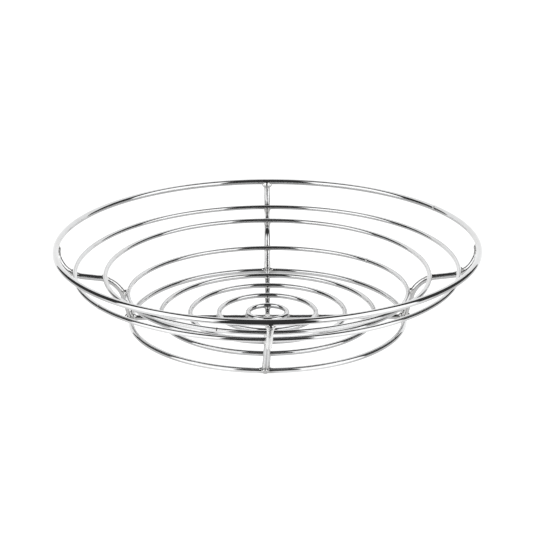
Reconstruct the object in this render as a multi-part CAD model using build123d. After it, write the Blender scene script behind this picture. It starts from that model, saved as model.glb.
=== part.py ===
from build123d import *
import math
import os

os.makedirs("parts", exist_ok=True)

# Round chrome-plated wire bowl on a ring foot. Millimetres, +Z up, the foot
# ring rests on z = 0 and the bowl's axis is the Z axis.

# ---- driving dimensions ---------------------------------------------------
RIM_R = 152.5            # centreline radius of the top rim
RIM_WIRE = 4.5           # wire diameters
SIDE_WIRE = 3.5
RIB_WIRE = 4.8
FOOT_WIRE = 4.0
CROSS_WIRE = 4.0
FLOOR_WIRE = 3.8

RIM_Z = 58.1             # height of the rim's centreline
UPPER_RING_R = 138.9     # side rings, centreline radii
MIDDLE_RING_R = 117.4
LOWER_RING_R = 101.5
FOOT_R = 99.9            # foot ring centreline radius
FLOOR_RING_R = (78.3, 56.6, 35.4, 14.2)   # floor rings, outside to centre

CROSS_Z = 2.2            # height of the cross wires' centrelines
SET_DOWN = 0.25          # how far one wire is pressed into the other at a weld
TEE_SET_DOWN = 0.4       # the same where a wire end meets a wire's side
SIDE_FIT_UP = 0.6        # fit-up gap between a side ring and the ribs, which
                         # the weld nugget fills

# Rib centreline in its own upright plane, as radius and height: rim end,
# upper bend, lower bend, foot end, with the two bend radii.
RIB_TOP = (151.9, 56.4)
RIB_UPPER_CORNER = (152.6, 36.6)
RIB_LOWER_CORNER = (108.6, 31.6)
RIB_FOOT = (100.1, 3.2)
RIB_UPPER_BEND = 20.5
RIB_LOWER_BEND = 20.0

# How the hand-welded wires sit off their true places. A side ring's shift is
# sideways (X, Y) and its tilts are the rise per millimetre towards +X and +Y.
# The front rib leans: its rim end and its foot end are off to the side.
UPPER_RING_SHIFT, UPPER_RING_TILT = (-0.4, 0.0), (0.003, 0.002)
MIDDLE_RING_SHIFT, MIDDLE_RING_TILT = (0.0, 0.0), (-0.003, 0.0015)
LOWER_RING_SHIFT, LOWER_RING_TILT = (0.4, -1.5), (0.004, -0.029)
FRONT_RIB_OFF_AT_RIM = 2.0
FRONT_RIB_OFF_AT_FOOT = -1.7

CROSSING_BEAD = 2.15     # radius of the bead squeezed out at a wire crossing
RIM_BEAD = 3.05          # bead radius where a rib meets the rim
FOOT_BEAD = 3.2          # bead radius where a rib stands on the foot ring
CROSS_BEAD = 2.75        # bead radius at a cross wire's end
SEAM_LENGTH = 2.4        # butt seam that closes a ring
SEAM_SWELL = 0.18        # how far the seam stands out of the wire
FLOOR_CLEAR = 0.3        # nothing but the foot ring comes lower than this

QUARTERS = (("right", 0), ("back", 90), ("left", 180), ("front", 270))


# ---- helpers --------------------------------------------------------------
def ring(radius, wire, z):
    """A closed wire ring lying level."""
    return Pos(0, 0, z) * Torus(radius, wire / 2)


def side_ring(radius, wire, z, shift, tilt):
    """A side ring where the welder's jig left it."""
    place = Pos(shift[0], shift[1], z) * Rot(
        math.degrees(math.atan(tilt[1])), -math.degrees(math.atan(tilt[0])), 0
    )
    return place * Torus(radius, wire / 2)


def ball(point, radius):
    return Pos(*point) * Sphere(radius)


def turned(part, angle):
    return Rot(0, 0, angle) * part


def bend(corner, before, after, radius):
    """The two tangent points and the centre of a bend at a corner."""
    ax, az = before[0] - corner[0], before[1] - corner[1]
    bx, bz = after[0] - corner[0], after[1] - corner[1]
    la, lb = math.hypot(ax, az), math.hypot(bx, bz)
    ax, az, bx, bz = ax / la, az / la, bx / lb, bz / lb
    half = math.acos(ax * bx + az * bz) / 2
    run = radius / math.tan(half)
    mx, mz = ax + bx, az + bz
    lm = math.hypot(mx, mz)
    out = radius / math.sin(half)
    return (
        (corner[0] + ax * run, corner[1] + az * run),
        (corner[0] + bx * run, corner[1] + bz * run),
        (corner[0] + mx / lm * out, corner[1] + mz / lm * out),
    )


def middle_of_bend(start, end, centre, radius):
    mx = (start[0] + end[0]) / 2 - centre[0]
    mz = (start[1] + end[1]) / 2 - centre[1]
    lm = math.hypot(mx, mz)
    return (centre[0] + mx / lm * radius, centre[1] + mz / lm * radius)


UP_A, UP_B, UP_C = bend(RIB_UPPER_CORNER, RIB_TOP, RIB_LOWER_CORNER, RIB_UPPER_BEND)
LO_A, LO_B, LO_C = bend(RIB_LOWER_CORNER, RIB_UPPER_CORNER, RIB_FOOT, RIB_LOWER_BEND)


def rib_points():
    """The rib centreline as closely spaced points, for measuring distances."""
    points = []

    def line(p, q, count):
        for i in range(count):
            t = i / count
            points.append((p[0] + (q[0] - p[0]) * t, p[1] + (q[1] - p[1]) * t))

    def arc(p, q, c, radius, count):
        a = math.atan2(p[1] - c[1], p[0] - c[0])
        b = math.atan2(q[1] - c[1], q[0] - c[0])
        turn = (b - a + math.pi) % (2 * math.pi) - math.pi
        for i in range(count):
            t = a + turn * i / count
            points.append((c[0] + radius * math.cos(t), c[1] + radius * math.sin(t)))

    line(RIB_TOP, UP_A, 200)
    arc(UP_A, UP_B, UP_C, RIB_UPPER_BEND, 300)
    line(UP_B, LO_A, 200)
    arc(LO_A, LO_B, LO_C, RIB_LOWER_BEND, 400)
    line(LO_B, RIB_FOOT, 200)
    points.append(RIB_FOOT)
    return points


RIB_LINE = rib_points()


def nearest_on_rib(r, z):
    return min(RIB_LINE, key=lambda p: math.hypot(p[0] - r, p[1] - z))


def resting_height(r, wire):
    """Height at which a level ring of this radius lies on the ribs from above
    and inside, the fit-up gap away."""
    reach = (wire + RIB_WIRE) / 2 + SIDE_FIT_UP
    low, high = 8.0, RIM_Z
    for _ in range(60):
        z = (low + high) / 2
        p = nearest_on_rib(r, z)
        above = z > p[1] or r < p[0]
        if above and math.hypot(p[0] - r, p[1] - z) > reach:
            high = z
        else:
            low = z
    return (low + high) / 2


UPPER_RING_Z = resting_height(UPPER_RING_R, SIDE_WIRE)
MIDDLE_RING_Z = resting_height(MIDDLE_RING_R, SIDE_WIRE)
LOWER_RING_Z = resting_height(LOWER_RING_R, SIDE_WIRE)
FLOOR_RING_Z = CROSS_Z + (CROSS_WIRE + FLOOR_WIRE) / 2 - SET_DOWN

# ---- wires ----------------------------------------------------------------
rim = ring(RIM_R, RIM_WIRE, RIM_Z)
SIDE_RINGS = {
    "upper": (UPPER_RING_R, UPPER_RING_Z, UPPER_RING_SHIFT, UPPER_RING_TILT),
    "middle": (MIDDLE_RING_R, MIDDLE_RING_Z, MIDDLE_RING_SHIFT, MIDDLE_RING_TILT),
    "lower": (LOWER_RING_R, LOWER_RING_Z, LOWER_RING_SHIFT, LOWER_RING_TILT),
}
side = {
    name: side_ring(r, SIDE_WIRE, z, shift, tilt)
    for name, (r, z, shift, tilt) in SIDE_RINGS.items()
}
foot = ring(FOOT_R, FOOT_WIRE, FOOT_WIRE / 2)
floor_rings = [ring(r, FLOOR_WIRE, FLOOR_RING_Z) for r in FLOOR_RING_R]

# The rib wire is bent in the XZ plane at angle 0 and turned to each quarter.
# Its rim end is coped to the rim and its foot end to the foot ring. Where a
# side ring comes closer than touching, it beds into the rib's inner side.
up_mid = middle_of_bend(UP_A, UP_B, UP_C, RIB_UPPER_BEND)
lo_mid = middle_of_bend(LO_A, LO_B, LO_C, RIB_LOWER_BEND)


def at(p):
    return (p[0], 0, p[1])


rib_path = Wire([
    Edge.make_line(at(RIB_TOP), at(UP_A)),
    Edge.make_three_point_arc(at(UP_A), at(up_mid), at(UP_B)),
    Edge.make_line(at(UP_B), at(LO_A)),
    Edge.make_three_point_arc(at(LO_A), at(lo_mid), at(LO_B)),
    Edge.make_line(at(LO_B), at(RIB_FOOT)),
])
start = Plane(origin=at(RIB_TOP), z_dir=(UP_A[0] - RIB_TOP[0], 0, UP_A[1] - RIB_TOP[1]))
rib_blank = sweep(start * Circle(RIB_WIRE / 2), path=rib_path)


def biggest(part):
    """The main solid of a cut, without slivers."""
    return max(part.solids(), key=lambda s: s.volume)


lean = math.atan((FRONT_RIB_OFF_AT_RIM - FRONT_RIB_OFF_AT_FOOT) / (RIB_TOP[1] - RIB_FOOT[1]))


def off_at(z):
    """Sideways offset of the front rib at a height."""
    return FRONT_RIB_OFF_AT_FOOT + math.tan(lean) * (z - RIB_FOOT[1])


def placed(part, name, angle):
    """A rib-side piece made at angle 0, moved to its quarter."""
    part = turned(part, angle)
    if name == "front":
        part = Pos(off_at(0), 0, 0) * Rot(0, math.degrees(lean), 0) * part
    return part


def place_point(point, name, angle):
    c, s = math.cos(math.radians(angle)), math.sin(math.radians(angle))
    x, y, z = point[0] * c - point[1] * s, point[0] * s + point[1] * c, point[2]
    if name == "front":
        x, z = x * math.cos(lean) + z * math.sin(lean), z * math.cos(lean) - x * math.sin(lean)
        x += off_at(0)
    return (x, y, z)


def ring_point(ring_name, t):
    r, z, shift, tilt = SIDE_RINGS[ring_name]
    x, y = r * math.cos(t), r * math.sin(t)
    return (x + shift[0], y + shift[1], z + x * tilt[0] + y * tilt[1])


def contact(ring_name, rib_name, angle):
    """Middle of the gap, or of the overlap, where a side ring passes a rib."""
    line = [place_point((p[0], 0, p[1]), rib_name, angle) for p in RIB_LINE[::4]]
    best = None
    for i in range(-60, 61):
        q = ring_point(ring_name, math.radians(angle) + i * 0.0008)
        for p in line:
            d = math.dist(p, q)
            if best is None or d < best[0]:
                best = (d, p, q)
    d, p, q = best
    t = (d - RIB_WIRE / 2 + SIDE_WIRE / 2) / 2 / d
    print(ring_name, rib_name, "gap", round(d - (RIB_WIRE + SIDE_WIRE) / 2, 2))
    return tuple(q[k] + (p[k] - q[k]) * t for k in range(3))


ribs = {
    name: biggest(
        placed(rib_blank, name, angle)
        - rim - side["upper"] - side["middle"] - side["lower"] - foot
    )
    for name, angle in QUARTERS
}

# Cross wires: one straight wire from left to right, and two half wires that
# run from the foot ring to it. Ends are coped and every floor ring beds in.
reach = FOOT_R - FOOT_WIRE / 2 + TEE_SET_DOWN
stop = CROSS_WIRE / 2 - TEE_SET_DOWN
long_blank = Pos(0, 0, CROSS_Z) * Rot(0, 90, 0) * Cylinder(CROSS_WIRE / 2, 2 * reach)
half_blank = (
    Pos((reach + stop) / 2, 0, CROSS_Z)
    * Rot(0, 90, 0)
    * Cylinder(CROSS_WIRE / 2, reach - stop)
)
long_wire = long_blank - foot - ribs["right"] - ribs["left"]
half_wire = (
    half_blank
    - foot
    - (Pos(0, 0, CROSS_Z) * Rot(90, 0, 0) * Cylinder(CROSS_WIRE / 2, 40))
)
for floor_ring in floor_rings:
    long_wire = long_wire - floor_ring
    half_wire = half_wire - floor_ring
long_wire = biggest(long_wire)
back_wire = biggest(turned(half_wire, 90) - ribs["back"])
front_wire = biggest(turned(half_wire, 270) - ribs["front"])
cross = {"right": long_wire, "left": long_wire, "back": back_wire, "front": front_wire}

# ---- welds ----------------------------------------------------------------


def side_ring_welds(ring_name):
    """Beads squeezed out where a side ring crosses the four ribs."""
    return [
        biggest(
            ball(contact(ring_name, name, angle), CROSSING_BEAD)
            - side[ring_name]
            - ribs[name]
        )
        for name, angle in QUARTERS
    ]


rim_seat = (RIB_TOP[0] - 0.3, 0, RIM_Z - RIM_WIRE / 2)
rim_welds = [
    biggest(ball(place_point(rim_seat, name, angle), RIM_BEAD) - rim - ribs[name])
    for name, angle in QUARTERS
]

# The foot joint is one nugget: rib end, foot ring and cross wire end run
# together in it.
foot_seat = (FOOT_R + 0.4, 0, FOOT_WIRE - 0.1)
cross_seat = (FOOT_R - FOOT_WIRE / 2 + 0.3, 0, CROSS_Z)
foot_welds = []
for name, angle in QUARTERS:
    nugget = ball(place_point(foot_seat, name, angle), FOOT_BEAD) + turned(
        ball(cross_seat, CROSS_BEAD), angle
    )
    nugget = nugget - foot - ribs[name] - cross[name]
    nugget = nugget - (Pos(0, 0, FLOOR_CLEAR - 10) * Box(300, 300, 20))
    foot_welds.append(biggest(nugget))

centre_weld = (
    ball((CROSS_WIRE / 2 - 0.2, 0, CROSS_Z), CROSS_BEAD)
    - biggest(half_wire)
    - (Pos(0, 0, CROSS_Z) * Rot(90, 0, 0) * Cylinder(CROSS_WIRE / 2, 40))
    - (Pos(0, 0, FLOOR_CLEAR - 10) * Box(40, 40, 20))
)
centre_weld = biggest(centre_weld)

floor_welds = []
for radius, floor_ring in zip(FLOOR_RING_R, floor_rings):
    seat = (radius, 0, CROSS_Z + CROSS_WIRE / 2 - SET_DOWN / 2)
    floor_welds.append(biggest(ball(seat, CROSSING_BEAD) - floor_ring - long_wire))


def seam(radius, wire, z, angle, shift=(0.0, 0.0), tilt=(0.0, 0.0)):
    """A butt seam: a short swollen sleeve on the wire where a ring closes."""
    sleeve = Rot(90, 0, 0) * (
        Cylinder(wire / 2 + SEAM_SWELL, SEAM_LENGTH)
    )
    sleeve = fillet(sleeve.edges().filter_by(GeomType.CIRCLE), SEAM_SWELL * 0.9)
    sleeve = turned(Pos(radius, 0, 0) * sleeve - Torus(radius, wire / 2), angle)
    return Pos(shift[0], shift[1], z) * Rot(
        math.degrees(math.atan(tilt[1])), -math.degrees(math.atan(tilt[0])), 0
    ) * sleeve


def save(name, parts):
    parts = parts if isinstance(parts, list) else [parts]
    solids = [s for part in parts for s in part.solids()]
    shape = solids[0] if len(solids) == 1 else Compound(children=solids)
    shape.label = name
    export_step(shape, f"parts/{name}.step")


def quarters(part):
    return [turned(part, angle) for _, angle in QUARTERS]


save("rim_ring", rim)
save("foot_ring", foot)
for name in SIDE_RINGS:
    save(f"side_ring_{name}", side[name])
    save(f"{name}_ring_welds", side_ring_welds(name))
for name, floor_ring in zip(("outer", "second", "third", "centre"), floor_rings):
    save(f"floor_ring_{name}", floor_ring)
for name in ribs:
    save(f"rib_{name}", ribs[name])
save("cross_wire_left_right", long_wire)
save("cross_wire_back_half", back_wire)
save("cross_wire_front_half", front_wire)
save("rim_rib_welds", rim_welds)
save("foot_joint_welds", foot_welds)
save("cross_centre_welds", [turned(centre_weld, 90), turned(centre_weld, 270)])
for name, weld in zip(("outer", "second", "third", "centre"), floor_welds):
    save(f"floor_ring_{name}_welds", quarters(weld))
save("ring_butt_seams", [
    seam(RIM_R, RIM_WIRE, RIM_Z, 33),
    seam(UPPER_RING_R, SIDE_WIRE, UPPER_RING_Z, 214, UPPER_RING_SHIFT, UPPER_RING_TILT),
    seam(MIDDLE_RING_R, SIDE_WIRE, MIDDLE_RING_Z, 253, MIDDLE_RING_SHIFT, MIDDLE_RING_TILT),
    seam(LOWER_RING_R, SIDE_WIRE, LOWER_RING_Z, 42, LOWER_RING_SHIFT, LOWER_RING_TILT),
])

print("ring heights", round(UPPER_RING_Z, 2), round(MIDDLE_RING_Z, 2),
      round(LOWER_RING_Z, 2), round(FLOOR_RING_Z, 2))
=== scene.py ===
import bpy
import math
import numpy as np
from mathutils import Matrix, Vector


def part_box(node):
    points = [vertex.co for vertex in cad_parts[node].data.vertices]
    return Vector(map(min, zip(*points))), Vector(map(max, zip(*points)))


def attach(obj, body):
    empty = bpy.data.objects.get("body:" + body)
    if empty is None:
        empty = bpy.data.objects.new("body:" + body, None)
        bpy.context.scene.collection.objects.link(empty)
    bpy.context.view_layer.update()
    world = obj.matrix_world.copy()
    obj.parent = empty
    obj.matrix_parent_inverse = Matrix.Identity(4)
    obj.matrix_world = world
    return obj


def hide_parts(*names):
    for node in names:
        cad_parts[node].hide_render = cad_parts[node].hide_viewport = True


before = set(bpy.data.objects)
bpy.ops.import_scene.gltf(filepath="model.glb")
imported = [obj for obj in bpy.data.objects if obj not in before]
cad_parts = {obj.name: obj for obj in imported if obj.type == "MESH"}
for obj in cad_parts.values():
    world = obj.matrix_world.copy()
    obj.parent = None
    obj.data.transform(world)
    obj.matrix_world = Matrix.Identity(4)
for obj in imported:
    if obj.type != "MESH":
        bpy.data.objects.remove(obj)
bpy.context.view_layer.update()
scene = bpy.context.scene
TAU = 2 * math.pi

# ---------------------------------------------------------------------------
# sizes, in metres, the same as the CAD part's
# ---------------------------------------------------------------------------
MM = 0.001


RIB_D = 4.8 * MM
SIDE_D = 3.5 * MM


def level_ring(node):
    lo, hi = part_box(node)
    wire = (hi.z - lo.z) / 2
    return dict(R=(hi.x - lo.x) / 2 - wire, w=wire, c=((lo.x + hi.x) / 2, (lo.y + hi.y) / 2, (lo.z + hi.z) / 2), tilt=(0.0, 0.0))


def side_ring(node, tilt):
    lo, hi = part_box(node)
    wire = SIDE_D / 2
    r = ((hi.x - lo.x) / 2 - wire * math.cos(math.atan(tilt[0]))) / math.cos(math.atan(tilt[0]))
    return dict(R=r, w=wire, c=((lo.x + hi.x) / 2, (lo.y + hi.y) / 2, (lo.z + hi.z) / 2), tilt=tilt)


RINGS = {
    "rim_ring": level_ring("rim_ring"),
    "side_ring_upper": side_ring("side_ring_upper", (0.003, 0.002)),
    "side_ring_middle": side_ring("side_ring_middle", (-0.003, 0.0015)),
    "side_ring_lower": side_ring("side_ring_lower", (0.004, -0.029)),
    "foot_ring": level_ring("foot_ring"),
    "floor_ring_outer": level_ring("floor_ring_outer"),
    "floor_ring_second": level_ring("floor_ring_second"),
    "floor_ring_third": level_ring("floor_ring_third"),
    "floor_ring_centre": level_ring("floor_ring_centre"),
}
# the shifts of the side rings are exact in the part; a box read back from a
# faceted mesh is good to a few hundredths, so the round numbers are used
SHIFT = {
    "side_ring_upper": (-0.4, 0.0), "side_ring_middle": (0.0, 0.0), "side_ring_lower": (0.4, -1.5),
}
RADII = {
    "rim_ring": 152.5, "side_ring_upper": 138.9, "side_ring_middle": 117.4, "side_ring_lower": 101.5,
    "foot_ring": 99.9, "floor_ring_outer": 78.3, "floor_ring_second": 56.6, "floor_ring_third": 35.4,
    "floor_ring_centre": 14.2,
}
for n, r in RINGS.items():
    dx, dy = SHIFT.get(n, (0.0, 0.0))
    assert abs(r["R"] - RADII[n] * MM) < 0.4 * MM, (n, r["R"])
    r["R"] = RADII[n] * MM
    r["c"] = (dx * MM, dy * MM, r["c"][2])
RIM_Z = RINGS["rim_ring"]["c"][2]
CROSS_Z = 2.2 * MM
CROSS_W = 2.0 * MM
RIB_W = RIB_D / 2

# rib centreline: radius and height, with two bends
RIB_TOP = (151.9, 56.4)
RIB_UPPER_CORNER = (152.6, 36.6)
RIB_LOWER_CORNER = (108.6, 31.6)
RIB_FOOT = (100.1, 3.2)
BENDS = (20.5, 20.0)
QUARTERS = (("right", 0), ("back", 90), ("left", 180), ("front", 270))
OFF_AT_RIM, OFF_AT_FOOT = 2.0, -1.7
LEAN = math.atan((OFF_AT_RIM - OFF_AT_FOOT) / (RIB_TOP[1] - RIB_FOOT[1]))


def bend(corner, before, after, radius):
    a = np.array(before, float) - corner
    b = np.array(after, float) - corner
    a /= np.linalg.norm(a)
    b /= np.linalg.norm(b)
    half = math.acos(float(a @ b)) / 2
    run = radius / math.tan(half)
    m = (a + b) / np.linalg.norm(a + b)
    c = np.array(corner, float)
    return c + a * run, c + b * run, c + m * radius / math.sin(half)


def rib_profile():
    up = bend(RIB_UPPER_CORNER, RIB_TOP, RIB_LOWER_CORNER, BENDS[0])
    lo = bend(RIB_LOWER_CORNER, RIB_UPPER_CORNER, RIB_FOOT, BENDS[1])
    out = []

    def line(p, q):
        n = max(2, int(np.linalg.norm(np.array(q) - p) / 0.5))
        for i in range(n):
            out.append(np.array(p) + (np.array(q) - p) * i / n)

    def arc(p, q, c, radius):
        a = math.atan2(*(p - c)[::-1])
        b = math.atan2(*(q - c)[::-1])
        turn = (b - a + math.pi) % TAU - math.pi
        n = max(8, int(abs(turn) * radius / 0.5))
        for i in range(n):
            t = a + turn * i / n
            out.append(c + radius * np.array([math.cos(t), math.sin(t)]))

    line(np.array(RIB_TOP), up[0])
    arc(up[0], up[1], up[2], BENDS[0])
    line(up[1], lo[0])
    arc(lo[0], lo[1], lo[2], BENDS[1])
    line(lo[1], np.array(RIB_FOOT))
    out.append(np.array(RIB_FOOT))
    return np.array(out) * MM


PROFILE = rib_profile()


def place(points, name, angle):
    """Points made in the XZ plane at angle 0, moved to a rib's quarter."""
    p = np.asarray(points, float).reshape(-1, 3)
    c, s = math.cos(math.radians(angle)), math.sin(math.radians(angle))
    q = np.stack([p[:, 0] * c - p[:, 1] * s, p[:, 0] * s + p[:, 1] * c, p[:, 2]], 1)
    if name == "front":
        x = q[:, 0] * math.cos(LEAN) + q[:, 2] * math.sin(LEAN)
        z = q[:, 2] * math.cos(LEAN) - q[:, 0] * math.sin(LEAN)
        off = (OFF_AT_FOOT - math.tan(LEAN) * RIB_FOOT[1]) * MM
        q = np.stack([x + off, q[:, 1], z], 1)
    return q


def rib_line(name, angle):
    return place(np.stack([PROFILE[:, 0], np.zeros(len(PROFILE)), PROFILE[:, 1]], 1), name, angle)


def ring_line(ring, t):
    t = np.asarray(t, float)
    x, y = ring["R"] * np.cos(t), ring["R"] * np.sin(t)
    a, b = ring["tilt"]
    return np.stack([x + ring["c"][0], y + ring["c"][1], ring["c"][2] + x * a + y * b], -1)


# ---------------------------------------------------------------------------
# meshes
# ---------------------------------------------------------------------------
def mesh_object(name, verts, faces, normals=None):
    me = bpy.data.meshes.new(name)
    me.from_pydata([tuple(v) for v in verts], [], [tuple(f) for f in faces])
    me.validate()
    me.update()
    me.polygons.foreach_set("use_smooth", [True] * len(me.polygons))
    if normals is not None:
        me.normals_split_custom_set_from_vertices([tuple(n) for n in normals])
    ob = bpy.data.objects.new(name, me)
    scene.collection.objects.link(ob)
    return ob


def frames(points, closed):
    """Tangent, normal and binormal along a line, without twist."""
    p = np.asarray(points, float)
    if closed:
        t = np.roll(p, -1, 0) - np.roll(p, 1, 0)
    else:
        t = np.gradient(p, axis=0)
    t /= np.linalg.norm(t, axis=1)[:, None]
    up = np.array([0, 0, 1.0]) if abs(t[0][2]) < 0.9 else np.array([1.0, 0, 0])
    n = np.zeros_like(p)
    n[0] = up - t[0] * (up @ t[0])
    n[0] /= np.linalg.norm(n[0])
    for i in range(1, len(p)):
        v = n[i - 1] - t[i] * (n[i - 1] @ t[i])
        n[i] = v / np.linalg.norm(v)
    return t, n, np.cross(t, n)


def tube(name, points, radius, closed=False, around=28, uneven=(), seed=0, dome=(True, True)):
    """A round wire along a line, with UVs along and around it, and rounded ends.
    uneven is a list of (length, depth): drawn and bent wire is never quite round
    or straight, so its skin rises and falls by that much over that length."""
    p = np.asarray(points, float)
    t, n, b = frames(p, closed)
    rr = np.full(len(p), radius)
    length = np.r_[0, np.cumsum(np.linalg.norm(np.diff(p, axis=0), axis=1))]
    rows = []
    if not closed and dome[0]:
        for k in range(5, 0, -1):
            a = math.pi / 2 * k / 6
            rows.append((p[0] - t[0] * radius * 0.45 * math.sin(a), n[0], b[0], rr[0] * math.cos(a), length[0]))
    for i in range(len(p)):
        rows.append((p[i], n[i], b[i], rr[i], length[i]))
    if not closed and dome[1]:
        for k in range(1, 6):
            a = math.pi / 2 * k / 6
            rows.append((p[-1] + t[-1] * radius * 0.45 * math.sin(a), n[-1], b[-1], rr[-1] * math.cos(a), length[-1]))
    ang = np.arange(around) * TAU / around
    verts = []
    for c, nn, bb, r, _ in rows:
        d = np.cos(ang)[:, None] * nn + np.sin(ang)[:, None] * bb
        w = c + r * d
        for k, (size, depth) in enumerate(uneven):
            rise = hash_noise(w, size, seed + 5 * k) * depth - depth
            w = w + d * (rise * r / radius)[:, None]
        verts.append(w)
    verts = np.concatenate(verts)
    m = len(rows)
    faces = []
    for i in range(m if closed else m - 1):
        j = (i + 1) % m
        for k in range(around):
            l = (k + 1) % around
            faces.append((i * around + k, i * around + l, j * around + l, j * around + k))
    if not closed:
        faces.append(tuple(range(around - 1, -1, -1)))
        faces.append(tuple((m - 1) * around + k for k in range(around)))
    ob = mesh_object(name, verts, faces)
    uv = ob.data.uv_layers.new(name="along")
    total = length[-1] + (np.linalg.norm(p[0] - p[-1]) if closed else 0)
    data = np.zeros((len(ob.data.loops), 2))
    li = np.zeros(len(ob.data.loops), int)
    ob.data.loops.foreach_get("vertex_index", li)
    row = li // around
    col = li % around
    data[:, 0] = np.array([r[4] for r in rows])[row]
    data[:, 1] = col / around
    for poly in ob.data.polygons:
        ls = list(poly.loop_indices)
        if len(ls) != 4:
            continue
        if closed and max(row[ls]) - min(row[ls]) > 1:
            for q in ls:
                if row[q] == 0:
                    data[q, 0] = total
        if max(col[ls]) - min(col[ls]) > 1:
            for q in ls:
                if col[q] == 0:
                    data[q, 1] = 1.0
    data[:, 0] *= 10.0
    uv.data.foreach_set("uv", data.ravel())
    return ob


# ---- welds: smooth unions of the wires' distance fields ---------------------
def d_ring(ring, p):
    a, b = ring["tilt"]
    nrm = np.array([-a, -b, 1.0])
    nrm /= np.linalg.norm(nrm)
    v = p - np.array(ring["c"])
    h = v @ nrm
    flat = v - h[..., None] * nrm
    return np.sqrt((np.linalg.norm(flat, axis=-1) - ring["R"]) ** 2 + h ** 2) - ring["w"]


def d_line(points, radius, p, near, reach):
    """Distance to a wire, using only the part of its line near the joint,
    thinned to about a millimetre a step."""
    pts = points[np.linalg.norm(points - near, axis=1) < reach]
    if len(pts) > 3:
        turn = np.linalg.norm(np.diff(pts, 2, axis=0), axis=1).max()
        pts = pts[[0, -1]] if turn < 1e-7 else np.concatenate([pts[:-1:2], pts[-1:]])
    best = np.full(p.shape[:-1], 1e9)
    for q, r in zip(pts[:-1], pts[1:]):
        ab = r - q
        d = p - q
        s = np.clip((d @ ab) / (ab @ ab), 0, 1)
        d = d - s[..., None] * ab
        best = np.minimum(best, np.einsum("...i,...i", d, d))
    return np.sqrt(best) - radius


def lump(centre, radii, p):
    """A slightly squashed blob of weld metal."""
    q = (p - np.array(centre)) / np.array(radii)
    return (np.linalg.norm(q, axis=-1) - 1) * min(radii)


def smin(a, b, k):
    h = np.maximum(k - np.abs(a - b), 0) / k
    return np.minimum(a, b) - h * h * h * k / 6


def hash_noise(p, scale, seed):
    """Smooth value noise, the same on every run."""
    q = p / scale + 37.0 * seed
    i = np.floor(q).astype(np.int64)
    f = q - i
    f = f * f * (3 - 2 * f)
    out = 0
    for dx in (0, 1):
        for dy in (0, 1):
            for dz in (0, 1):
                h = (i[..., 0] + dx) * 73856093 ^ (i[..., 1] + dy) * 19349663 ^ (i[..., 2] + dz) * 83492791
                h = (h ^ (h >> 13)) * 1274126177 & 0x7FFFFFFF
                v = (h % 10007) / 10007.0
                w = (f[..., 0] if dx else 1 - f[..., 0]) * (f[..., 1] if dy else 1 - f[..., 1]) * (f[..., 2] if dz else 1 - f[..., 2])
                out = out + v * w
    return out * 2 - 1


def nets(field, lo, step, shape):
    """Surface nets: a quad mesh of the zero surface of field on a grid."""
    ax = [lo[k] + step * np.arange(shape[k]) for k in range(3)]
    grid = np.stack(np.meshgrid(*ax, indexing="ij"), -1)
    f = field(grid)
    inside = f < 0
    corners = [(i, j, k) for i in (0, 1) for j in (0, 1) for k in (0, 1)]
    sx, sy, sz = (s - 1 for s in shape)
    count = sum(inside[i:i + sx, j:j + sy, k:k + sz].astype(int) for i, j, k in corners)
    active = (count > 0) & (count < 8)
    idx = -np.ones(active.shape, int)
    cells = np.argwhere(active)
    idx[tuple(cells.T)] = np.arange(len(cells))
    acc = np.zeros((len(cells), 3))
    num = np.zeros(len(cells))
    for a in range(8):
        for b in range(a + 1, 8):
            ca, cb = np.array(corners[a]), np.array(corners[b])
            if np.abs(ca - cb).sum() != 1:
                continue
            fa = f[tuple((cells + ca).T)]
            fb = f[tuple((cells + cb).T)]
            hit = (fa < 0) != (fb < 0)
            s = np.where(hit, fa / np.where(hit, fa - fb, 1), 0)
            acc += np.where(hit[:, None], ca + s[:, None] * (cb - ca), 0)
            num += hit
    verts = np.array(lo) + step * (cells + acc / num[:, None])
    faces = []
    for axis in range(3):
        o = [k for k in range(3) if k != axis]
        a0 = inside
        sl = [slice(None)] * 3
        s1, s2 = list(sl), list(sl)
        s1[axis], s2[axis] = slice(0, -1), slice(1, None)
        flip = a0[tuple(s1)] != a0[tuple(s2)]
        for e in np.argwhere(flip):
            if e[o[0]] == 0 or e[o[1]] == 0 or e[o[0]] > active.shape[o[0]] - 1 or e[o[1]] > active.shape[o[1]] - 1 or e[axis] > active.shape[axis] - 1:
                continue
            q = []
            for u, v in ((0, 0), (1, 0), (1, 1), (0, 1)):
                c = e.copy()
                c[o[0]] -= u
                c[o[1]] -= v
                q.append(idx[tuple(c)])
            if min(q) < 0:
                continue
            if not (a0[tuple(e)] ^ (axis == 1)):
                q.reverse()
            faces.append(q)
    return verts, faces


def bead(field, centre, reach, inner, step=0.00022, seed=1, ripple=0.00003):
    """The visible skin of a weld: the smooth union of the wires, a hair proud at
    the joint and sinking into the wires at its edge."""
    centre = np.array(centre, float)

    def f(p):
        r = np.linalg.norm(p - centre, axis=-1)
        t = np.clip((r - inner) / (reach - inner), 0, 1)
        proud = 0.00003 * (1 - t * t * (3 - 2 * t)) - 0.00008 * t * t
        wob = ripple * hash_noise(p, 0.0011, seed) * np.clip(1.2 - r / inner, 0, 1)
        return field(p) - proud - wob

    n = int(2 * reach / step) + 1
    verts, faces = nets(f, centre - reach, step, (n, n, n))
    for _ in range(3):
        e = step * 0.25
        g = np.stack([(f(verts + d) - f(verts - d)) / (2 * e) for d in np.eye(3) * e], 1)
        val = f(verts)
        verts = verts - g * (val / np.maximum((g * g).sum(1), 1e-9))[:, None]
    e = step * 0.5
    g = np.stack([(f(verts + d) - f(verts - d)) / (2 * e) for d in np.eye(3) * e], 1)
    g /= np.linalg.norm(g, axis=1)[:, None]
    keep = np.linalg.norm(verts - centre, axis=1) < reach * 0.985
    remap = -np.ones(len(verts), int)
    remap[keep] = np.arange(keep.sum())
    faces = [[remap[i] for i in q] for q in faces if all(keep[i] for i in q)]
    return verts[keep], faces, g[keep]


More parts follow.
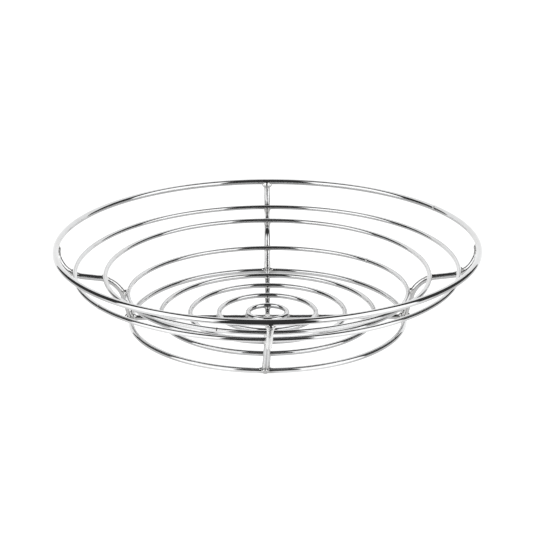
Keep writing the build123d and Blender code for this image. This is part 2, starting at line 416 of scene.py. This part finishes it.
def beads_object(name, parts):
    verts, faces, normals, base = [], [], [], 0
    for v, f, g in parts:
        verts.append(v)
        normals.append(g)
        faces += [[i + base for i in q] for q in f]
        base += len(v)
    ob = mesh_object(name, np.concatenate(verts), faces, np.concatenate(normals))
    return ob


# ---------------------------------------------------------------------------
# chrome
# ---------------------------------------------------------------------------
def chrome(name, base, rough, along, waves, flutes=0.0, pits=0.0, fleck=0.0):
    """Bright nickel-chrome plate. waves is a list of (size in millimetres,
    depth in micrometres) for the unevenness of the plate; flutes are fine drawing
    lines along the wire; pits and fleck are small marks in the plate."""
    m = bpy.data.materials.new(name)
    m.use_nodes = True
    nt = m.node_tree
    nt.nodes.clear()
    N = nt.nodes.new
    L = nt.links.new
    out = N("ShaderNodeOutputMaterial")
    bs = N("ShaderNodeBsdfPrincipled")
    bs.inputs["Metallic"].default_value = 1.0
    L(bs.outputs["BSDF"], out.inputs["Surface"])
    tc = N("ShaderNodeTexCoord")

    # the plate's colour: a cool grey, warmer and darker in slow clouds
    cloud = N("ShaderNodeTexNoise")
    cloud.inputs["Scale"].default_value = 70.0
    cloud.inputs["Detail"].default_value = 3.0
    L(tc.outputs["Object"], cloud.inputs["Vector"])
    ramp = N("ShaderNodeValToRGB")
    ramp.color_ramp.elements[0].position = 0.32
    ramp.color_ramp.elements[0].color = (base[0] * 0.93, base[1] * 0.92, base[2] * 0.91, 1)
    ramp.color_ramp.elements[1].position = 0.68
    ramp.color_ramp.elements[1].color = (*base, 1)
    L(cloud.outputs["Fac"], ramp.inputs["Fac"])
    colour = ramp.outputs["Color"]
    if fleck:
        fl = N("ShaderNodeTexNoise")
        fl.inputs["Scale"].default_value = 850.0
        fl.inputs["Detail"].default_value = 2.0
        L(tc.outputs["Object"], fl.inputs["Vector"])
        fr = N("ShaderNodeMapRange")
        fr.inputs["From Min"].default_value = 0.56
        fr.inputs["From Max"].default_value = 0.66
        fr.inputs["To Min"].default_value = 0.0
        fr.inputs["To Max"].default_value = fleck
        L(fl.outputs["Fac"], fr.inputs["Value"])
        mix = N("ShaderNodeMix")
        mix.data_type = "RGBA"
        mix.blend_type = "MULTIPLY"
        mix.inputs[7].default_value = (0.35, 0.34, 0.33, 1)
        L(fr.outputs["Result"], mix.inputs[0])
        L(colour, mix.inputs[6])
        colour = mix.outputs[2]
    L(colour, bs.inputs["Base Color"])

    # gloss: nearly a mirror, a little duller where the plate is thin
    fine = N("ShaderNodeTexNoise")
    fine.inputs["Scale"].default_value = 240.0
    fine.inputs["Detail"].default_value = 3.0
    L(tc.outputs["Object"], fine.inputs["Vector"])
    mr = N("ShaderNodeMapRange")
    mr.inputs["From Min"].default_value = 0.35
    mr.inputs["From Max"].default_value = 0.75
    mr.inputs["To Min"].default_value = rough
    mr.inputs["To Max"].default_value = rough * 2.4
    L(fine.outputs["Fac"], mr.inputs["Value"])
    L(mr.outputs["Result"], bs.inputs["Roughness"])

    last = None

    def bump(height, depth):
        nonlocal last
        b = N("ShaderNodeBump")
        b.inputs["Strength"].default_value = 1.0
        b.inputs["Distance"].default_value = depth
        L(height, b.inputs["Height"])
        if last is not None:
            L(last, b.inputs["Normal"])
        last = b.outputs["Normal"]

    for size, depth in waves:
        w = N("ShaderNodeTexNoise")
        w.inputs["Scale"].default_value = 1000.0 / size
        w.inputs["Detail"].default_value = 1.0
        L(tc.outputs["Object"], w.inputs["Vector"])
        bump(w.outputs["Fac"], depth * 1e-6)
    if along and flutes:
        mp = N("ShaderNodeMapping")
        mp.inputs["Scale"].default_value = (4.0, 26.0, 1.0)
        L(tc.outputs["UV"], mp.inputs["Vector"])
        drawn = N("ShaderNodeTexNoise")
        drawn.inputs["Scale"].default_value = 1.0
        drawn.inputs["Detail"].default_value = 2.0
        L(mp.outputs["Vector"], drawn.inputs["Vector"])
        bump(drawn.outputs["Fac"], flutes * 1e-6)
    if pits:
        pt = N("ShaderNodeTexVoronoi")
        pt.inputs["Scale"].default_value = 650.0
        L(tc.outputs["Object"], pt.inputs["Vector"])
        pr = N("ShaderNodeMapRange")
        pr.inputs["From Max"].default_value = 0.14
        L(pt.outputs["Distance"], pr.inputs["Value"])
        bump(pr.outputs["Result"], pits * 1e-6)
    if last is not None:
        L(last, bs.inputs["Normal"])
    return m


BASE = (0.525, 0.53, 0.535)
MAT_RING = chrome("chrome_ring", BASE, 0.03, True, [(14.0, 60.0), (3.0, 5.0)], flutes=1.5, pits=1.5, fleck=0.12)
MAT_RIB = chrome("chrome_rib", BASE, 0.045, True, [(5.0, 90.0), (1.6, 26.0)], flutes=7.0, pits=6.0, fleck=0.3)
MAT_CROSS = chrome("chrome_cross", BASE, 0.045, True, [(5.0, 90.0), (1.3, 30.0)], flutes=7.0, pits=6.0, fleck=0.3)
MAT_WELD = chrome("chrome_weld", (0.52, 0.522, 0.52), 0.05, False, [(2.6, 90.0), (0.8, 22.0)], pits=5.0, fleck=0.25)

# painted highlight: the top of the front rib and its rim weld are mixed towards a near-white plate colour, standing
# in for the bright reflection there; the same mask also makes them rougher
for m in (MAT_RIB, MAT_WELD):
    nt = m.node_tree
    shine = next(n for n in nt.nodes if n.type == "BSDF_PRINCIPLED").inputs["Roughness"]
    ripple = shine.links[0].from_socket
    where = nt.nodes.new("ShaderNodeTexCoord")
    split = nt.nodes.new("ShaderNodeSeparateXYZ")
    nt.links.new(where.outputs["Object"], split.inputs["Vector"])
    rough_and_painted_sheen = None
    # the mask is high only at the top of the front rib, where the painted highlight goes
    for axis, lo, hi, top in (("Z", 0.034, 0.044, 0.45), ("Y", -0.130, -0.142, 1.0), ("Z", 0.0560, 0.0548, 1.0)):
        band = nt.nodes.new("ShaderNodeMapRange")
        band.interpolation_type = "SMOOTHSTEP"
        band.inputs["From Min"].default_value = lo
        band.inputs["From Max"].default_value = hi
        band.inputs["To Min"].default_value = 0.0
        band.inputs["To Max"].default_value = top
        nt.links.new(split.outputs[axis], band.inputs["Value"])
        if rough_and_painted_sheen is None:
            rough_and_painted_sheen = band.outputs["Result"]
        else:
            product = nt.nodes.new("ShaderNodeMath")
            product.operation = "MULTIPLY"
            nt.links.new(rough_and_painted_sheen, product.inputs[0])
            nt.links.new(band.outputs["Result"], product.inputs[1])
            rough_and_painted_sheen = product.outputs[0]
    plate = next(n for n in nt.nodes if n.type == "BSDF_PRINCIPLED").inputs["Base Color"]
    # painted highlight: the plate colour is mixed towards near white where the mask is high
    painted_sheen_colour = nt.nodes.new("ShaderNodeMix")
    painted_sheen_colour.data_type = "RGBA"
    painted_sheen_colour.inputs[7].default_value = (0.95, 0.95, 0.94, 1)
    nt.links.new(plate.links[0].from_socket, painted_sheen_colour.inputs[6])
    nt.links.new(rough_and_painted_sheen, painted_sheen_colour.inputs[0])
    nt.links.new(painted_sheen_colour.outputs[2], plate)
    most = nt.nodes.new("ShaderNodeMath")
    most.operation = "MAXIMUM"
    nt.links.new(ripple, most.inputs[0])
    nt.links.new(rough_and_painted_sheen, most.inputs[1])
    nt.links.new(most.outputs[0], shine)


def finish_piece(ob, mat, slot, *nodes):
    ob.data.materials.clear()
    ob.data.materials.append(mat)
    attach(ob, "root")
    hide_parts(*nodes)


# ---------------------------------------------------------------------------
# wires
# ---------------------------------------------------------------------------
for name, ring in RINGS.items():
    n = max(96, int(TAU * ring["R"] / (1.6 * MM)))
    pts = ring_line(ring, np.arange(n) * TAU / n)
    ob = tube("wire_" + name, pts, ring["w"], closed=True, around=32)
    finish_piece(ob, MAT_RING, "chrome_wire", name)

for name, angle in QUARTERS:
    line = rib_line(name, angle)
    ob = tube("wire_rib_" + name, line, RIB_W, around=40, uneven=((8 * MM, 0.08 * MM), (2.6 * MM, 0.035 * MM)), seed=angle // 90 + 2)
    finish_piece(ob, MAT_RIB, "chrome_wire", "rib_" + name)

REACH = (RADII["foot_ring"] - 2.0 + 0.4) * MM
STOP = 1.6 * MM
LONG = np.stack([np.linspace(-REACH, REACH, 240), np.zeros(240), np.full(240, CROSS_Z)], 1)
BACK = np.stack([np.zeros(120), np.linspace(STOP, REACH, 120), np.full(120, CROSS_Z)], 1)
FRONT = BACK * np.array([1, -1, 1])
for name, pts, node in (
    ("wire_cross_left_right", LONG, "cross_wire_left_right"),
    ("wire_cross_back", BACK, "cross_wire_back_half"),
    ("wire_cross_front", FRONT, "cross_wire_front_half"),
):
    ob = tube(name, pts, CROSS_W, around=36, dome=(False, False), uneven=((6 * MM, 0.08 * MM), (2.0 * MM, 0.035 * MM)), seed=len(name))
    finish_piece(ob, MAT_CROSS, "chrome_wire", node)

# ---------------------------------------------------------------------------
# welds
# ---------------------------------------------------------------------------
seed = 3
for which in ("upper", "middle", "lower"):
    ring = RINGS["side_ring_" + which]
    parts = []
    for name, angle in QUARTERS:
        line = rib_line(name, angle)
        t = math.radians(angle) + np.linspace(-0.05, 0.05, 201)
        rp = ring_line(ring, t)
        d = np.linalg.norm(rp[:, None] - line[None], axis=-1)
        i, j = np.unravel_index(d.argmin(), d.shape)
        q, p = rp[i], line[j]
        dd = d[i, j]
        c = q + (p - q) * (dd - RIB_W + ring["w"]) / 2 / dd

        along = np.array([-math.sin(math.radians(angle)), math.cos(math.radians(angle)), 0.0])
        rng = np.random.default_rng(100 + seed)
        gap = (dd - RIB_W - ring["w"]) / MM
        blobs = [(c + along * s * (1.2 + 0.2 * rng.random()) * MM + (p - q) / dd * 0.1 * MM,
                  (1.2 + 0.2 * rng.random()) * MM) for s in (-1, 1)]
        blobs.append((c, (1.7 + 0.25 * max(gap, 0)) * MM))
        blobs += [(c + along * s * 1.35 * MM + (p - q) / dd * 0.7 * MM + np.array([0, 0, -0.9 * MM]),
                   (0.95 + 0.15 * rng.random()) * MM) for s in (-1, 1)]

        def field(x, ring=ring, line=line, c=c, blobs=blobs):
            a = smin(d_ring(ring, x), d_line(line, RIB_W, x, c, 0.009), 0.0013)
            for bc, br in blobs:
                a = smin(a, lump(bc, (br, br, br), x), 0.0005)
            return a

        seed += 1
        parts.append(bead(field, c, 0.0044, 0.0026, seed=seed, ripple=0.00006))
    ob = beads_object(f"weld_{which}_ring", parts)
    finish_piece(ob, MAT_WELD, "chrome_weld", which + "_ring_welds")

parts = []
for name, angle in QUARTERS:
    line = rib_line(name, angle)
    c = line[0] + (np.array([0, 0, RIM_Z - RINGS["rim_ring"]["w"]]) - line[0]) * np.array([0, 0, 1])

    rng = np.random.default_rng(200 + seed)
    out = np.array([math.cos(math.radians(angle)), math.sin(math.radians(angle)), 0.0])
    side = np.array([-out[1], out[0], 0.0])
    low = np.array([0, 0, -1.0])
    blobs = [
        (c + side * (rng.random() - 0.5) * 0.6 * MM + low * 0.2 * MM, 2.75 * MM),
        (c + out * 0.1 * MM + side * 2.0 * MM + low * 0.2 * MM, 1.9 * MM),
        (c + out * 0.1 * MM - side * 2.1 * MM + low * 0.4 * MM, 1.8 * MM),
        (c + out * 0.7 * MM + side * 1.1 * MM + low * 2.0 * MM, 1.5 * MM),
        (c + out * 0.6 * MM - side * 1.3 * MM + low * 1.5 * MM, 1.35 * MM),
    ]

    def field(x, line=line, c=c, blobs=blobs):
        a = smin(d_ring(RINGS["rim_ring"], x), d_line(line, RIB_W, x, c, 0.011), 0.0014)
        for bc, br in blobs:
            a = smin(a, lump(bc, (br, br, br), x), 0.0007)
        return a

    seed += 1
    parts.append(bead(field, c, 0.0056, 0.0034, step=0.00026, seed=seed, ripple=0.00006))
ob = beads_object("weld_rim_ribs", parts)
finish_piece(ob, MAT_WELD, "chrome_weld", "rim_rib_welds")

parts = []
for name, angle in QUARTERS:
    line = rib_line(name, angle)
    cross = {"right": LONG, "left": LONG, "back": BACK, "front": FRONT}[name]
    c = place([((RADII["foot_ring"] - 0.4) * MM, 0, 3.0 * MM)], name, angle)[0]

    rng = np.random.default_rng(300 + seed)
    out = np.array([math.cos(math.radians(angle)), math.sin(math.radians(angle)), 0.0])
    side = np.array([-out[1], out[0], 0.0])
    blobs = [
        (c + out * 0.2 * MM + side * 3.0 * MM + np.array([0, 0, -0.3 * MM]), 1.75 * MM),
        (c + out * 0.2 * MM - side * 3.0 * MM + np.array([0, 0, -0.4 * MM]), 1.8 * MM),
        (c - out * 1.6 * MM + np.array([0, 0, 0.3 * MM]), 2.1 * MM),
    ]

    nose = c + out * 3.0 * MM + np.array([0, 0, -0.1 * MM])
    face = out * math.cos(math.radians(30)) - np.array([0, 0, math.sin(math.radians(30))])

    def field(x, line=line, c=c, cross=cross, blobs=blobs, nose=nose, face=face):
        a = smin(d_ring(RINGS["foot_ring"], x), d_line(line, RIB_W, x, c, 0.012), 0.0010)
        a = smin(a, d_line(cross, CROSS_W, x, c, 0.012), 0.0012)
        for bc, br in blobs:
            a = smin(a, lump(bc, (br, br, br), x), 0.0004)
        end = -smin(-lump(nose, (2.4 * MM,) * 3, x), 1.3 * MM - (x - nose) @ face, 0.0003)
        a = smin(a, end, 0.00025)
        return np.maximum(a, 0.0003 - x[..., 2]) if c[2] < 0.01 else a

    seed += 1
    parts.append(bead(field, c, 0.0072, 0.0050, step=0.00026, seed=seed, ripple=0.00007))
ob = beads_object("weld_foot_joints", parts)
finish_piece(ob, MAT_WELD, "chrome_weld", "foot_joint_welds")

parts = []
for s, wire in ((1, BACK), (-1, FRONT)):
    c = np.array([0, s * 1.9 * MM, CROSS_Z])

    def field(x, c=c, wire=wire):
        return smin(d_line(LONG, CROSS_W, x, c, 0.009), d_line(wire, CROSS_W, x, c, 0.009), 0.0018)

    seed += 1
    parts.append(bead(field, c, 0.0042, 0.0026, seed=seed, ripple=0.00005))
ob = beads_object("weld_centre", parts)
finish_piece(ob, MAT_WELD, "chrome_weld", "cross_centre_welds")

for which in ("outer", "second", "third", "centre"):
    ring = RINGS["floor_ring_" + which]
    parts = []
    for name, angle in QUARTERS:
        cross = {"right": LONG, "left": LONG, "back": BACK, "front": FRONT}[name]
        a = math.radians(angle)
        c = np.array([ring["R"] * math.cos(a), ring["R"] * math.sin(a), CROSS_Z + CROSS_W - 0.1 * MM])

        rng = np.random.default_rng(400 + seed)
        side = np.array([-math.sin(a), math.cos(a), 0.0])
        out = np.array([math.cos(a), math.sin(a), 0.0])
        blobs = [(c + side * s * (1.1 + 0.25 * rng.random()) * MM + out * t * (1.0 + 0.2 * rng.random()) * MM,
                  (0.85 + 0.2 * rng.random()) * MM) for s in (-1, 1) for t in (-1, 1)]

        def field(x, ring=ring, cross=cross, c=c, blobs=blobs):
            a = smin(d_ring(ring, x), d_line(cross, CROSS_W, x, c, 0.009), 0.0011)
            for bc, br in blobs:
                a = smin(a, lump(bc, (br, br, br), x), 0.0004)
            return a

        seed += 1
        parts.append(bead(field, c, 0.0042, 0.0024, seed=seed))
    ob = beads_object(f"weld_floor_ring_{which}", parts)
    finish_piece(ob, MAT_WELD, "chrome_weld", f"floor_ring_{which}_welds")

# butt seams: a short swelling on four of the rings
verts, faces, base = [], [], 0
for node, deg in (("rim_ring", 33), ("side_ring_upper", 214), ("side_ring_middle", 253), ("side_ring_lower", 42)):
    ring = RINGS[node]
    half = 1.7 * MM / ring["R"]
    s = np.linspace(-1, 1, 25)
    pts = ring_line(ring, math.radians(deg) + s * half)
    t, nn, bb = frames(pts, False)
    rad = ring["w"] - 0.06 * MM + 0.24 * MM * np.exp(-(s / 0.42) ** 2) - 0.05 * MM * np.exp(-(s / 0.07) ** 2)
    ang = np.arange(32) * TAU / 32
    for i in range(len(pts)):
        verts.append(pts[i] + rad[i] * (np.cos(ang)[:, None] * nn[i] + np.sin(ang)[:, None] * bb[i]))
    for i in range(len(pts) - 1):
        for k in range(32):
            l = (k + 1) % 32
            faces.append((base + i * 32 + k, base + i * 32 + l, base + (i + 1) * 32 + l, base + (i + 1) * 32 + k))
    base += 32 * len(pts)
ob = mesh_object("seams", np.concatenate(verts), faces)
finish_piece(ob, MAT_WELD, "chrome_weld", "ring_butt_seams")

# ---------------------------------------------------------------------------
# a pale table top, a white board behind it, and two large soft boxes in front
# ---------------------------------------------------------------------------
def glowing(name, verts, faces, strength, camera, reflected):
    me = bpy.data.meshes.new(name)
    me.from_pydata(verts, [], faces)
    ob = bpy.data.objects.new(name, me)
    scene.collection.objects.link(ob)
    ma = bpy.data.materials.new(name)
    ma.use_nodes = True
    nt = ma.node_tree
    nt.nodes.clear()
    o = nt.nodes.new("ShaderNodeOutputMaterial")
    e = nt.nodes.new("ShaderNodeEmission")
    e.inputs["Color"].default_value = (1.0, 1.0, 1.0, 1)
    e.inputs["Strength"].default_value = strength
    nt.links.new(e.outputs["Emission"], o.inputs["Surface"])
    me.materials.append(ma)
    ob.visible_camera = camera
    ob.visible_glossy = reflected
    return ob


def sheet_y(y, x, z0, z1):
    return [(-x, y, z0), (x, y, z0), (x, y, z1), (-x, y, z1)]


W, FRONT_EDGE, BOARD_Y, BOARD_Z = 0.56, -0.19, 0.45, 0.98
glowing("floor", [(-6, -6, 0), (6, -6, 0), (6, 6, 0), (-6, 6, 0)], [(0, 1, 2, 3)], 1.25, True, False)
table = glowing("table_top", [(-W, FRONT_EDGE, 0), (W, FRONT_EDGE, 0), (W, BOARD_Y, 0), (-W, BOARD_Y, 0)], [(0, 1, 2, 3)], 0.92, False, True)
nt = table.data.materials[0].node_tree
tout = next(n for n in nt.nodes if n.type == "OUTPUT_MATERIAL")
tem = next(n for n in nt.nodes if n.type == "EMISSION")
tgl = nt.nodes.new("ShaderNodeBsdfGlossy")
tgl.inputs["Roughness"].default_value = 0.12
tfr = nt.nodes.new("ShaderNodeFresnel")
tfr.inputs["IOR"].default_value = 1.55
tbl = nt.nodes.new("ShaderNodeBsdfTransparent")
tbl.inputs["Color"].default_value = (0, 0, 0, 1)
tmx = nt.nodes.new("ShaderNodeMixShader")
tad = nt.nodes.new("ShaderNodeAddShader")
nt.links.new(tfr.outputs["Fac"], tmx.inputs[0])
nt.links.new(tbl.outputs[0], tmx.inputs[1])
nt.links.new(tgl.outputs[0], tmx.inputs[2])
nt.links.new(tem.outputs[0], tad.inputs[0])
tco = nt.nodes.new("ShaderNodeTexCoord")
tsp = nt.nodes.new("ShaderNodeSeparateXYZ")
# painted pool of light: the table top glows at 1.42 in front of the object (y below -0.104) and at 0.90 under and
# behind it
painted_front_light = nt.nodes.new("ShaderNodeMapRange")
painted_front_light.interpolation_type = "SMOOTHSTEP"
painted_front_light.inputs["From Min"].default_value = -0.104
painted_front_light.inputs["From Max"].default_value = -0.075
painted_front_light.inputs["To Min"].default_value = 1.42
painted_front_light.inputs["To Max"].default_value = 0.90
nt.links.new(tco.outputs["Object"], tsp.inputs["Vector"])
nt.links.new(tsp.outputs["Y"], painted_front_light.inputs["Value"])
tab = nt.nodes.new("ShaderNodeMath")
tab.operation = "ABSOLUTE"
# painted shadow: the table top's glow is dimmed to two thirds in a narrow strip along x = 0, standing in for the
# rib's shadow on the table
painted_rib_shadow = nt.nodes.new("ShaderNodeMapRange")
painted_rib_shadow.interpolation_type = "SMOOTHSTEP"
painted_rib_shadow.inputs["From Min"].default_value = 0.002
painted_rib_shadow.inputs["From Max"].default_value = 0.009
painted_rib_shadow.inputs["To Min"].default_value = 0.66
painted_rib_shadow.inputs["To Max"].default_value = 1.0
tmu = nt.nodes.new("ShaderNodeMath")
tmu.operation = "MULTIPLY"
nt.links.new(tsp.outputs["X"], tab.inputs[0])
nt.links.new(tab.outputs[0], painted_rib_shadow.inputs["Value"])
nt.links.new(painted_front_light.outputs["Result"], tmu.inputs[0])
nt.links.new(painted_rib_shadow.outputs["Result"], tmu.inputs[1])
nt.links.new(tmu.outputs[0], tem.inputs["Strength"])
nt.links.new(tmx.outputs[0], tad.inputs[1])
nt.links.new(tad.outputs[0], tout.inputs["Surface"])
glowing("board", sheet_y(BOARD_Y, W, 0.0, BOARD_Z), [(0, 1, 2, 3)], 1.4, False, True)
DOME = 9.0
rings = [(math.radians(e) , DOME) for e in range(-20, 91, 10)]
dv, df = [], []
for i, (e, d) in enumerate(rings):
    for k in range(32):
        t = TAU * k / 32
        dv.append((d * math.cos(e) * math.cos(t), d * math.cos(e) * math.sin(t), d * math.sin(e)))
for i in range(len(rings) - 1):
    for k in range(32):
        l = (k + 1) % 32
        df.append((i * 32 + k, (i + 1) * 32 + k, (i + 1) * 32 + l, i * 32 + l))
glowing("backdrop", dv, df, 1.25, True, False)

world = bpy.data.worlds.new("studio")
scene.world = world
world.use_nodes = True
nt = world.node_tree
nt.nodes.clear()
N, L = nt.nodes.new, nt.links.new
wo = N("ShaderNodeOutputWorld")
bg = N("ShaderNodeBackground")
L(bg.outputs["Background"], wo.inputs["Surface"])
tc = N("ShaderNodeTexCoord")
sep = N("ShaderNodeSeparateXYZ")
L(tc.outputs["Generated"], sep.inputs["Vector"])
X, Y, Z = sep.outputs


def op(kind, a, b=None):
    n = N("ShaderNodeMath")
    n.operation = kind
    for i, v in enumerate((a, b)):
        if v is None:
            continue
        if isinstance(v, (int, float)):
            n.inputs[i].default_value = v
        else:
            L(v, n.inputs[i])
    return n.outputs[0]


def ease(v, a, b):
    """0 below a, 1 above b, smooth between."""
    n = N("ShaderNodeMapRange")
    n.interpolation_type = "SMOOTHSTEP"
    n.inputs["From Min"].default_value = a
    n.inputs["From Max"].default_value = b
    L(v, n.inputs["Value"])
    return n.outputs["Result"]


def fall(v, a, b):
    return op("SUBTRACT", 1.0, ease(v, a, b))


RAD = math.pi / 180
azimuth = op("ARCTAN2", op("ABSOLUTE", X), op("MULTIPLY", Y, -1.0))
flat = op("SQRT", op("ADD", op("MULTIPLY", X, X), op("MULTIPLY", Y, Y)))
elevation = op("ARCTAN2", Z, flat)
# each soft box: 24 to 84 degrees off the viewing side, from below the table's
# level to well above it
box = op("MULTIPLY", ease(azimuth, 24 * RAD, 28 * RAD), fall(azimuth, 80 * RAD, 84 * RAD))
box = op("MULTIPLY", box, fall(elevation, 50 * RAD, 60 * RAD))
box = op("MULTIPLY", box, ease(elevation, -28 * RAD, -22 * RAD))
L(op("ADD", op("MULTIPLY", box, 2.1), 0.06), bg.inputs["Strength"])
bg.inputs["Color"].default_value = (1.0, 1.0, 1.0, 1)

# ---------------------------------------------------------------------------
# camera
# ---------------------------------------------------------------------------
R = RADII["rim_ring"] * MM
F_PX, DIST, ELEV, PITCH, YAW, ROLL = 1977.4, 9.5, 21.405, 19.933, -0.027, -0.22
cam = bpy.data.cameras.new("camera")
co = bpy.data.objects.new("camera", cam)
scene.collection.objects.link(co)
cam.sensor_width = 36.0
cam.lens = F_PX / 533 * 36.0
cam.clip_end = 50
e_, p_, y_, r_ = (math.radians(v) for v in (ELEV, PITCH, YAW, ROLL))
pos = np.array([0, -DIST * math.cos(e_), DIST * math.sin(e_)]) * R + np.array([0, 0, 2.0 * MM])
fwd = np.array([math.sin(y_) * math.cos(p_), math.cos(y_) * math.cos(p_), -math.sin(p_)])
right = np.array([math.cos(y_), -math.sin(y_), 0])
up = np.cross(right, fwd)
right, up = right * math.cos(r_) + up * math.sin(r_), up * math.cos(r_) - right * math.sin(r_)
from mathutils import Matrix, Vector
m = Matrix((
    (right[0], up[0], -fwd[0], pos[0]),
    (right[1], up[1], -fwd[1], pos[1]),
    (right[2], up[2], -fwd[2], pos[2]),
    (0, 0, 0, 1),
))
co.matrix_world = m
scene.camera = co
scene.view_settings.view_transform = "Standard"
scene.view_settings.look = "None"
